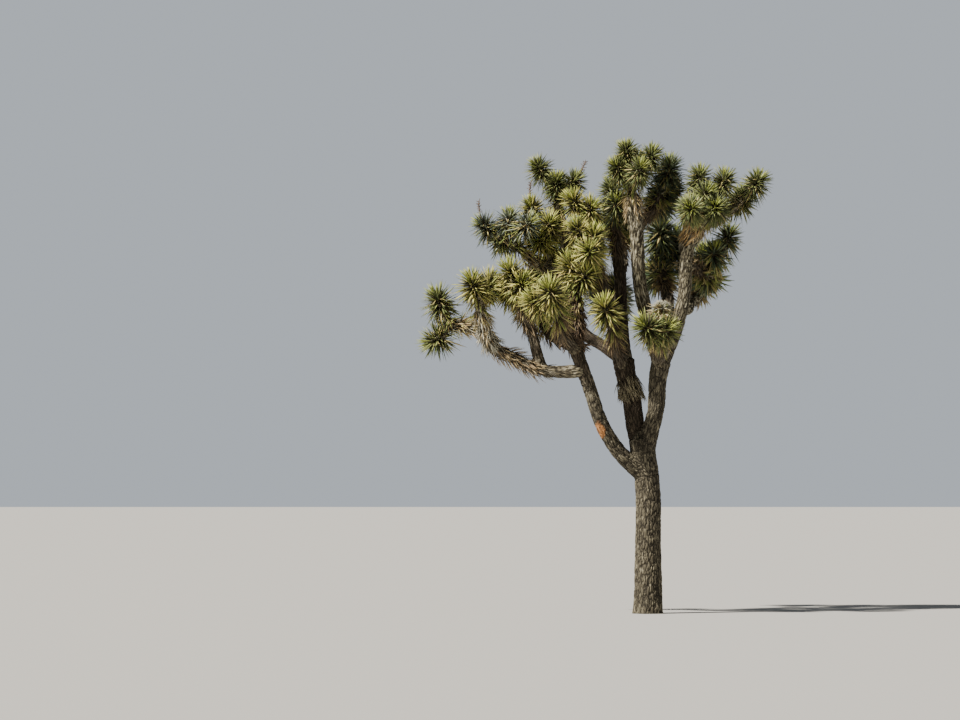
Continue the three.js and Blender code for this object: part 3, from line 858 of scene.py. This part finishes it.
def head_recipe(name, finish):
    """Daggers round the axis of every head in a spiral, evenly spread between two tilts."""
    recipe = LeafRecipe(
        name, leaves=120, first_tilt=0.5, last_tilt=2.0, length=0.24, half_width=0.011, thickness=0.006,
        arch=0.01, unevenness=0.24, twist=0.8, youngest=0.87, oldest=1.15, root=0.025, slide=0.16, sag=0.16,
        ruffle=0.26,
    )
    given = recipe.given
    copies = {"Geometry": recipe.mesh, "Amount": given("leaves")}
    copies = recipe.node(
        "GeometryNodeDuplicateElements", {"domain": "POINT"}, copies, ["Geometry", "Duplicate Index"]
    )
    places, order = copies
    share = (order + 0.5) / given("leaves")
    top = recipe.math("COSINE", given("first_tilt"))
    skirt = recipe.math("COSINE", given("last_tilt"))
    tilt = recipe.math("ARCCOSINE", top + (skirt - top) * share)
    tilt = tilt + recipe.chance(-1.0, 1.0, seed=1) * given("ruffle")
    turn = recipe.attribute("turn") + order * GOLDEN_ANGLE
    turn = turn + recipe.chance(-1.0, 1.0, seed=2) * given("ruffle")
    axis = recipe.attribute("axis", "FLOAT_VECTOR")
    leaning = recipe.vector("DOT_PRODUCT", axis, RIGHT, take="Value")
    right = recipe.vector("NORMALIZE", RIGHT - axis * leaning)
    other = recipe.vector("CROSS_PRODUCT", axis, right)
    cos_tilt, sin_tilt = recipe.math("COSINE", tilt), recipe.math("SINE", tilt)
    outward = right * recipe.math("COSINE", turn) + other * recipe.math("SINE", turn)
    heading = axis * cos_tilt + outward * sin_tilt - tuple(UP) * (given("sag") * share)
    heading = recipe.vector("NORMALIZE", heading)
    face = axis * sin_tilt - outward * cos_tilt
    root = outward * given("root") - axis * (given("slide") * share)
    vigour = recipe.attribute("vigour")
    places = recipe.node("GeometryNodeSetPosition", None, {"Geometry": places, "Offset": root * vigour})
    age = given("youngest") + (given("oldest") - given("youngest")) * share
    recipe.set_out(places, heading, face, vigour * age, finish)
    return recipe


TIP_COLOUR = (0.16, 0.085, 0.045)
LEAF_TIP = (0.9, 1.0)
# Painted shade: how far out from its foot a leaf is painted dark, as in the shaded heart of a head
LEAF_FOOT_SHADE = (0.42, 0.12)
TONE_SPREAD = (0.3, 0.8)


def leaf_finish(name, blade_colour, other_colour, foot_shade_colour, roughness, shadow_colour_painted=None):
    """The skin of one kind of leaf: its colours vary from leaf to leaf, its foot is painted dark as shade
    in the head's heart, and its tip is brown.
    """
    skin = Finish(name, Roughness=roughness, Specular_IOR_Level=0.35)
    along = skin.noted("along")
    tone = skin.passed(skin.noted("tone"), *TONE_SPREAD)
    colour = skin.blend(tone, blade_colour, other_colour)
    colour = skin.blend(skin.passed(along, *LEAF_FOOT_SHADE), colour, foot_shade_colour)
    # Painted shade: where the bark under them gets painted shade, these leaves are painted dark brown too
    if shadow_colour_painted:
        brown = skin.blend(tone * 0.6, shadow_colour_painted, foot_shade_colour)
        colour = skin.blend(skin.noted("bleached"), brown, colour)
    skin.set("Base Color", skin.blend(skin.passed(along, *LEAF_TIP), colour, TIP_COLOUR))
    return skin


# Which boughs' heads stand in the sun, look bluish or stay in the shade, and the kinds of leaves on them.
# Their leaves are painted lighter in the sun and darker in the shade. The bluish ones have the leaves' own
# blue-green with painted blue shade from the sky.
SUNNY = ["west_upright", "west_front", "west_rise", "west_mid", "northwest_rise", "northwest_front",
         "centre_lit", "centre_front"]
BLUISH = ["northwest_far", "west_shaded", "rear_low"]
SHADED = ["top_shaded", "east_shaded", "east_rear", "rear_high", "rear_middle", "rear_east"]
PLAIN = [row["name"] for row in carriers if row["name"] not in SUNNY + BLUISH + SHADED]
EVERYWHERE = SUNNY + BLUISH + SHADED + PLAIN
GROWN = dict(leaves=98, first_tilt=0.4, last_tilt=2.1, length=0.305, half_width=0.0165)
KINDS = {
    "leaves_young": dict(
        masses=EVERYWHERE,
        colours=((0.37, 0.4, 0.085), (0.25, 0.3, 0.06), (0.12, 0.14, 0.035)),
        sizes=dict(leaves=24, first_tilt=0.05, last_tilt=0.6, length=0.28, half_width=0.014, slide=0.02,
                   oldest=0.95),
    ),
    # More leaves in the heart of every head, painted near black as painted shade
    "leaves_inner": dict(
        masses=EVERYWHERE,
        colours=((0.06, 0.06, 0.024), (0.035, 0.03, 0.015), (0.02, 0.018, 0.01)),
        sizes=dict(leaves=110, first_tilt=0.15, last_tilt=2.15, length=0.21, half_width=0.014),
    ),
    # More leaves on the heads in the crown's shade, painted dark as painted shade
    "leaves_crowded": dict(
        masses=["top_shaded", "east_rear", "rear_high", "centre_dark"],
        colours=((0.095, 0.115, 0.06), (0.045, 0.06, 0.036), (0.025, 0.024, 0.016)),
        sizes=dict(leaves=120, first_tilt=0.3, last_tilt=2.5, length=0.3, half_width=0.015, slide=0.22),
    ),
    "leaves_between": dict(
        masses=["top", "east_inner", "east_outer", "east_end", "northwest_tall"],
        colours=((0.155, 0.18, 0.062), (0.066, 0.085, 0.032), (0.032, 0.034, 0.017)),
        sizes=dict(leaves=85, first_tilt=0.5, last_tilt=2.35, length=0.3, half_width=0.015, slide=0.22),
    ),
    "leaves_straw": dict(
        masses=EVERYWHERE,
        colours=((0.6, 0.5, 0.2), (0.44, 0.38, 0.15), (0.25, 0.19, 0.09)),
        sizes=dict(leaves=26, first_tilt=1.75, last_tilt=2.5, length=0.3, half_width=0.0135, slide=0.16),
    ),
    "leaves_grey": dict(
        masses=["east_front"],
        dry=True,
        colours=((0.36, 0.35, 0.26), (0.22, 0.21, 0.15), (0.12, 0.11, 0.08)),
        sizes=dict(leaves=210, first_tilt=0.05, last_tilt=1.8, length=0.135, half_width=0.018,
                   unevenness=0.08, ruffle=0.12, sag=0.4, slide=0.0),
    ),
    "leaves_bleached": dict(
        masses=["east_front"],
        dry=True,
        colours=((0.62, 0.55, 0.34), (0.48, 0.38, 0.2), (0.28, 0.2, 0.11)),
        sizes=dict(leaves=110, first_tilt=1.5, last_tilt=2.6, length=0.24, half_width=0.013, sag=0.7,
                   slide=0.12),
    ),
    "leaves_sunny": dict(
        masses=SUNNY,
        colours=((0.56, 0.52, 0.155), (0.2, 0.225, 0.055), (0.06, 0.055, 0.022)),
        sizes=GROWN,
    ),
    "leaves_green": dict(
        masses=PLAIN,
        colours=((0.24, 0.265, 0.085), (0.09, 0.115, 0.038), (0.04, 0.045, 0.02)),
        sizes=GROWN,
    ),
    "leaves_bluish": dict(
        masses=BLUISH,
        colours=((0.275, 0.31, 0.2), (0.075, 0.105, 0.098), (0.034, 0.042, 0.036)),
        sizes=GROWN,
    ),
    "leaves_shaded": dict(
        masses=SHADED,
        colours=((0.2, 0.25, 0.125), (0.08, 0.12, 0.068), (0.036, 0.046, 0.028)),
        sizes=GROWN,
    ),
}
LIVE_ROUGHNESS = 0.5

# Heads get smaller towards the top of the tree, but for a few that are fuller
LOW_HEADS, HIGH_HEADS = 4.6, 6.0
HIGH_VIGOUR = 0.79
FULLER = {"top_shaded": 1.2, "east_rear": 1.2, "rear_high": 1.12, "east_end": 1.05}
TURN_SEED = 400
WORD = 0xFFFFFFFF
SEED_STEP = 0x6D2B79F5


def seeded(seed):
    """Random numbers from 0 to 1, the same ones on every run."""
    state = seed

    def draw():
        nonlocal state
        state = (state + SEED_STEP) & WORD
        mixed = ((state ^ (state >> 15)) * (state | 1)) & WORD
        mixed ^= (mixed + (mixed ^ (mixed >> 7)) * (mixed | 61)) & WORD
        return (mixed ^ (mixed >> 14)) / (WORD + 1)

    return draw


draw = seeded(TURN_SEED)
for crown in crowns:
    crown["turn"] = draw() * 2 * math.pi
    by_height = float(np.interp(crown["place"][2], (LOW_HEADS, HIGH_HEADS), (1.0, HIGH_VIGOUR)))
    crown["vigour"] = by_height * FULLER.get(crown["mass"], 1.0)
for name, kind in KINDS.items():
    dry = kind.get("dry", False)
    own = [crown for crown in crowns if crown["mass"] in kind["masses"] and crown["dry"] == dry]
    hearts = bpy.data.meshes.new("hearts")
    hearts.from_pydata([tuple(crown["place"]) for crown in own], [], [])
    for label, form in (("axis", "FLOAT_VECTOR"), ("turn", "FLOAT"), ("vigour", "FLOAT")):
        note(hearts, label, form, [crown[label] for crown in own])
    finish = leaf_finish(name, *kind["colours"], LIVE_ROUGHNESS)
    spray = head_recipe(name, finish).grow(name, hearts, **kind["sizes"])
    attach(spray, "root")
    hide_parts(*["leaves_" + mass for mass in kind["masses"]])


# Skirts and thatch: old leaves that die on the tree and never drop. Below a head they turn olive, then
# tan, and hang down round the bough; further down they weather grey and lie flat on it. Where the bark
# under them gets painted shade, they are painted dark brown too. Four patches have leaves of their own:
# silver, dark brown painted shade, golden, and a ragged fringe.
DEAD_ROUGHNESS = 0.85
SIDEWAYS = 0.3
PATCH = dict(near=0.15, far=9.0, lift=0.55, length=0.19, half_width=0.012)


def skirt_recipe(name, finish):
    """Daggers that grow out of the bark, along a stretch of wood at a distance from the heads."""
    recipe = LeafRecipe(
        name, density=300.0, near=0.0, far=0.5, fade=0.12, lift=0.8, uneven_lift=0.2, length=0.2,
        half_width=0.011, thickness=0.004, arch=0.02, unevenness=0.4, twist=0.6, sag=0.1,
    )
    given = recipe.given
    left = recipe.attribute("left")
    vigour = recipe.passed(recipe.height(), LOW_HEADS, HIGH_HEADS, 1.0, HIGH_VIGOUR)
    begins = recipe.passed(left, given("near"), given("near") + given("fade"))
    ends = recipe.passed(left, given("far"), given("far") - given("fade"))
    density = given("density") * begins * ends
    scatter = {"Mesh": recipe.mesh, "Density": density, "Seed": len(name)}
    scatter = recipe.node("GeometryNodeDistributePointsOnFaces", None, scatter, ["Points", "Normal"])
    places, outward = scatter
    down = recipe.attribute("down", "FLOAT_VECTOR")
    lift = given("lift") + recipe.chance(-1.0, 1.0, seed=3) * given("uneven_lift")
    cos_lift, sin_lift = recipe.math("COSINE", lift), recipe.math("SINE", lift)
    aside = recipe.chance(-SIDEWAYS, SIDEWAYS, seed=4)
    aside = recipe.vector("CROSS_PRODUCT", down, outward) * aside
    heading = down * cos_lift + outward * sin_lift + aside - tuple(UP) * given("sag")
    heading = recipe.vector("NORMALIZE", heading)
    face = outward * cos_lift - down * sin_lift
    recipe.set_out(places, heading, face, vigour, finish)
    return recipe


SKIRTS = {
    "leaves_lower": dict(
        colours=((0.32, 0.34, 0.095), (0.18, 0.22, 0.06), (0.09, 0.08, 0.03)),
        sizes=dict(density=560.0, near=0.02, far=0.5, lift=1.1, length=0.26, half_width=0.0145),
    ),
    "leaves_aging": dict(
        colours=((0.5, 0.43, 0.17), (0.4, 0.31, 0.13), (0.22, 0.17, 0.08)),
        sizes=dict(density=460.0, near=0.22, far=0.6, lift=0.85, length=0.24, half_width=0.012),
    ),
    "leaves_dead": dict(
        # Painted shade: the colour these leaves take where the bark under them gets painted shade
        painted_shadow=(0.105, 0.074, 0.046),
        colours=((0.64, 0.51, 0.28), (0.36, 0.26, 0.14), (0.2, 0.14, 0.08)),
        sizes=dict(density=560.0, near=0.34, far=0.78, fade=0.12, lift=0.58, length=0.2),
    ),
    "thatch": dict(
        # Painted shade: the colour this thatch takes where the bark under it gets painted shade
        painted_shadow=(0.08, 0.058, 0.038),
        colours=((0.38, 0.35, 0.26), (0.19, 0.17, 0.12), (0.12, 0.105, 0.075)),
        sizes=dict(density=560.0, near=0.55, far=0.95, fade=0.15, lift=0.24, uneven_lift=0.16,
                   length=0.15, half_width=0.009, arch=0.01),
    ),
    "thatch_silver": dict(
        patch=((-2.24, -0.4, 3.84), 0.3),
        colours=((0.56, 0.54, 0.43), (0.36, 0.34, 0.26), (0.2, 0.18, 0.13)),
        sizes=dict(PATCH, density=900.0),
    ),
    # Painted shade: dark brown dead leaves where the crown's shadow falls on the west bough's tip
    "thatch_brown": dict(
        patch=((-1.07, -0.38, 3.95), 0.38),
        colours=((0.17, 0.115, 0.07), (0.08, 0.056, 0.036), (0.04, 0.03, 0.02)),
        sizes=dict(PATCH, density=1100.0, length=0.21, half_width=0.013),
    ),
    "thatch_golden": dict(
        patch=((0.555, -0.12, 5.2), 0.17),
        colours=((0.9, 0.66, 0.33), (0.66, 0.43, 0.19), (0.36, 0.24, 0.11)),
        sizes=dict(PATCH, density=800.0),
    ),
    "thatch_fringe": dict(
        patch=((-0.24, 0.08, 3.08), 0.175),
        colours=((0.3, 0.265, 0.165), (0.15, 0.125, 0.08), (0.07, 0.055, 0.035)),
        sizes=dict(PATCH, density=1300.0, lift=0.38),
    ),
}

wood = bmesh.new()
for name in SKINS:
    wood.from_mesh(bpy.data.objects[name].data)
for name, kind in SKIRTS.items():
    finish = leaf_finish(name, *kind["colours"], DEAD_ROUGHNESS, kind.get("painted_shadow"))
    ground = wood.copy()
    if "patch" in kind:
        middle, reach = Vector(kind["patch"][0]), kind["patch"][1]
        beyond = [face for face in ground.faces if (face.calc_center_median() - middle).length > reach]
        bmesh.ops.delete(ground, geom=beyond, context="FACES")
    stretch = bpy.data.meshes.new(name)
    ground.to_mesh(stretch)
    ground.free()
    skirt = skirt_recipe(name, finish).grow(name, stretch, **kind["sizes"])
    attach(skirt, "root")
wood.free()


# Flower stalks: three dry ones of past springs, thin and woody, with the short twigs that bore the fruit.
# Each stands in the middle of a head, and leans and is turned its own way.
STALKS = [
    ((-2.225, 0.08, 5.265), (-0.32, -0.1)),
    ((-1.57, 0.26, 5.53), (-0.1, 0.1)),
    ((-0.91, 0.6, 5.92), (0.5, -0.1)),
]
STALK_STEPS = 12
STALK_SIDES = 6
STALK_SWAY = -0.4
STALK_NARROWS_BY = 0.6
TWIGLET_SIDES = 5
TWIGLET_RADII = {"Radius Top": 0.004, "Radius Bottom": 0.006}
TWIGLET_TILTS = (0.6, 1.5)
TWIGLET_SIZES = (0.5, 1.0)
STALK_COLOURS = ((0.08, 0.055, 0.04), (0.24, 0.175, 0.125))
STREAK_STRETCH = (1.0, 1.0, 0.2)
STALK_STREAKS_PER_METRE = 160.0
TURNED_BY = 0.6

stalk = Recipe("flower stalk", height=0.31, bend=0.04, radius=0.013, bare=0.45, twigs=26, twig_length=0.055)
height, bend = stalk.given("height"), stalk.given("bend")
spine = stalk.bow(STALK_STEPS, stalk.point(bend * STALK_SWAY, z=height * 0.5), stalk.point(bend, z=height))
narrowing = 1 - stalk.node("GeometryNodeSplineParameter", take="Factor") * STALK_NARROWS_BY
shaft = stalk.rod(spine, stalk.ring(STALK_SIDES, stalk.given("radius")), narrowing)
bearing = {"Curve": spine, "Start": stalk.given("bare")}
bearing = stalk.node("GeometryNodeTrimCurve", {"mode": "FACTOR"}, bearing)
bearing = {"Curve": bearing, "Count": stalk.given("twigs")}
bearing = stalk.node("GeometryNodeCurveToPoints", {"mode": "COUNT"}, bearing)
twiglet = {"Vertices": TWIGLET_SIDES, "Depth": stalk.given("twig_length"), **TWIGLET_RADII}
twiglet = stalk.node("GeometryNodeMeshCone", None, twiglet, take="Mesh")
turn = stalk.node("GeometryNodeInputIndex") * GOLDEN_ANGLE
spread = stalk.point(stalk.chance(*TWIGLET_TILTS, seed=5), z=turn)
twiglets = stalk.copied(twiglet, bearing, spread, stalk.chance(*TWIGLET_SIZES, seed=6))
whole = stalk.node("GeometryNodeJoinGeometry", None, {0: [shaft, twiglets]})
standing = stalk.copied(whole, stalk.mesh, stalk.attribute("lean", "FLOAT_VECTOR"))

dry_wood = Finish("dry stalk", Roughness=0.9, Specular_IOR_Level=0.2)
grain = dry_wood.noise(dry_wood.place() * STREAK_STRETCH, STALK_STREAKS_PER_METRE, detail=3.0)
dry_wood.set("Base Color", dry_wood.blend(grain, *STALK_COLOURS))
stalk.close(standing, dry_wood)

feet = bpy.data.meshes.new("stalk feet")
feet.from_pydata([place for place, _ in STALKS], [], [])
leans = [(-away, aside, TURNED_BY * k) for k, (_, (aside, away)) in enumerate(STALKS)]
note(feet, "lean", "FLOAT_VECTOR", leans)
stalks = stalk.grow("flower_stalks", feet)
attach(stalks, "root")
